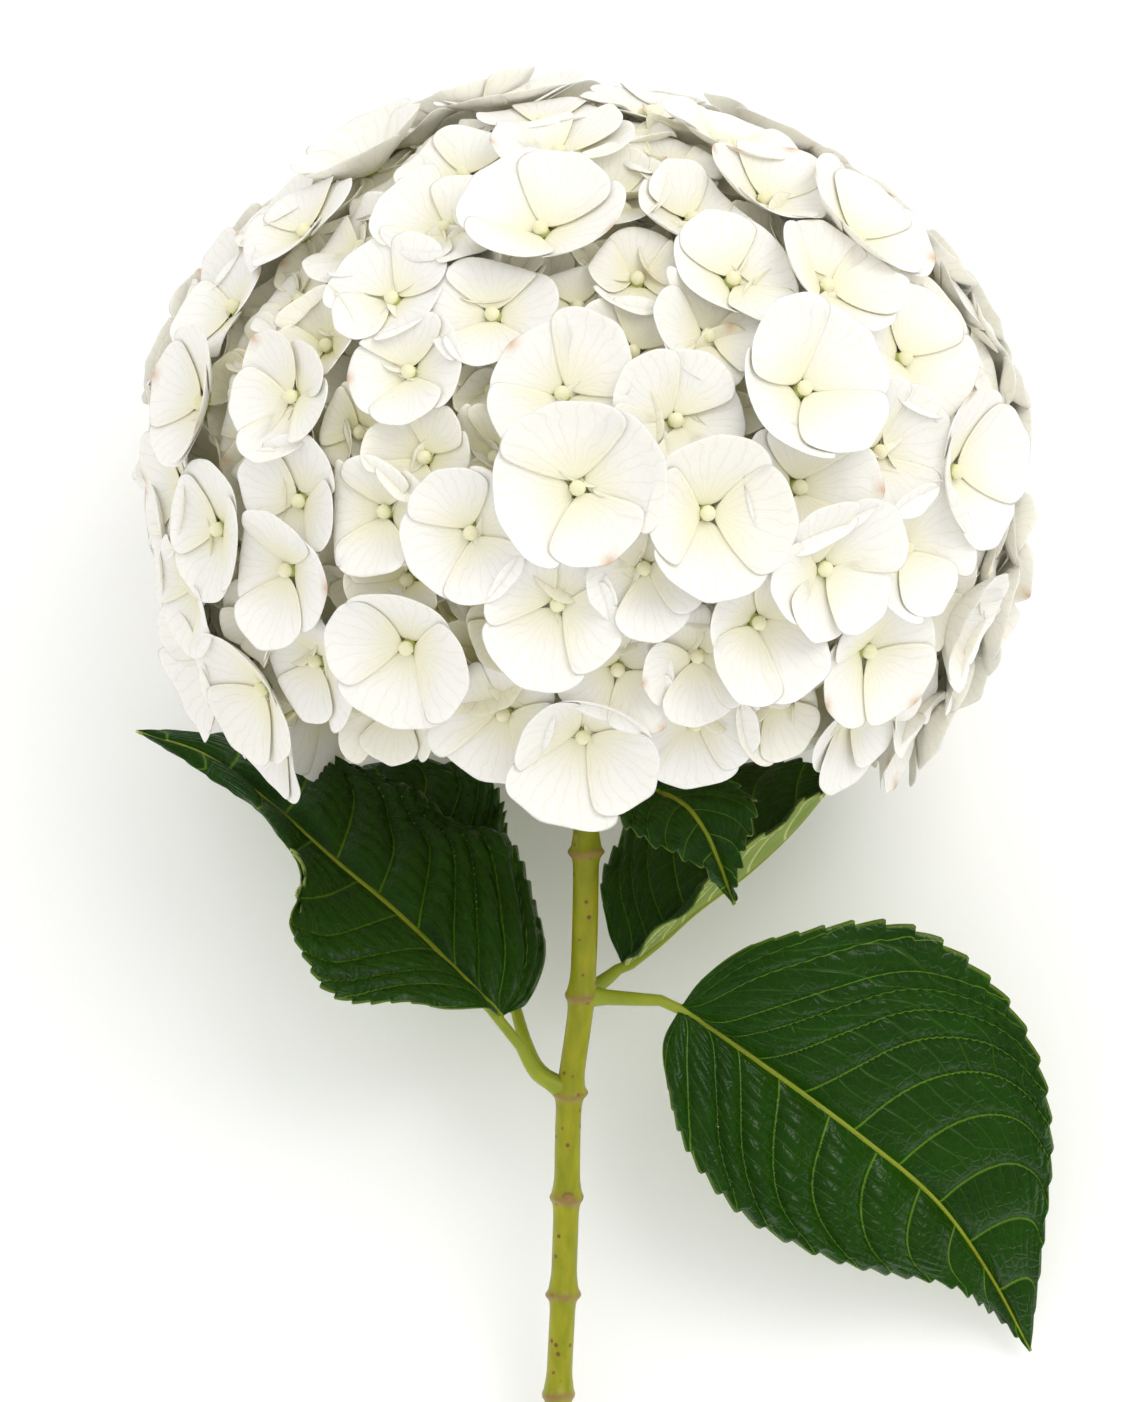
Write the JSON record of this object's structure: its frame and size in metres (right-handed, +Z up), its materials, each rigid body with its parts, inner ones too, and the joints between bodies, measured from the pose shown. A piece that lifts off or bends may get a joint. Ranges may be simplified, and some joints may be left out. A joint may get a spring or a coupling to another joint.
{
  "type": "cut hydrangea",
  "caption": "Cut white mophead hydrangea lying on its side: a domed head of florets on a bare green stem with toothed leaves.",
  "frame": {"origin": "on the surface that the cut flower lies on, under the middle of its head, at the middle of the floret that is pressed flat there", "axes": "+Z up from the surface; +Y along the flower on the surface, from the cut end of the stem towards the head; +X to the right when the flower is seen from above with its head away from you"},
  "size_m": [0.2094, 0.3255, 0.1781],
  "materials": {
    "sepal": "matt, slightly translucent ivory white, greener towards the middle of each floret",
    "leaf": "satin, dark green, quilted between raised yellow-green veins, paler and matt underneath",
    "stem": "satin yellow-green with small brown specks and tan rings at the nodes"
  },
  "bodies": {
    "root": {"stem": "stem", "leaf_lower_right": "leaf", "leaf_lower_left": "leaf", "leaf_back_left": "leaf", "leaf_folded_right": "leaf", "leaf_small_hanging": "leaf", "floret_sprig_01": "sepal", "floret_sprig_02": "sepal", "floret_sprig_03": "sepal", "floret_sprig_04": "sepal", "floret_sprig_05": "sepal", "floret_sprig_06": "sepal", "floret_sprig_07": "sepal", "floret_sprig_08": "sepal", "floret_sprig_09": "sepal", "floret_sprig_10": "sepal", "floret_sprig_11": "sepal", "floret_sprig_12": "sepal", "floret_sprig_13": "sepal", "floret_sprig_14": "sepal", "floret_sprig_15": "sepal", "floret_sprig_16": "sepal", "floret_sprig_17": "sepal", "floret_sprig_18": "sepal", "floret_sprig_19": "sepal", "floret_sprig_20": "sepal", "floret_sprig_21": "sepal", "floret_sprig_22": "sepal", "floret_sprig_23": "sepal", "floret_sprig_24": "sepal", "floret_sprig_25": "sepal", "floret_sprig_26": "sepal", "floret_sprig_27": "sepal", "floret_sprig_28": "sepal", "floret_sprig_29": "sepal", "floret_sprig_30": "sepal", "floret_sprig_31": "sepal", "floret_sprig_32": "sepal", "floret_sprig_33": "sepal", "floret_sprig_34": "sepal", "floret_sprig_35": "sepal", "floret_sprig_36": "sepal", "floret_sprig_37": "sepal", "floret_sprig_38": "sepal", "floret_sprig_39": "sepal", "floret_sprig_40": "sepal", "floret_sprig_41": "sepal", "floret_sprig_42": "sepal", "floret_sprig_43": "sepal", "floret_sprig_44": "sepal", "floret_sprig_45": "sepal", "floret_sprig_46": "sepal", "floret_sprig_47": "sepal", "floret_sprig_48": "sepal", "floret_sprig_49": "sepal", "floret_sprig_50": "sepal"}
  },
  "joints": []
}
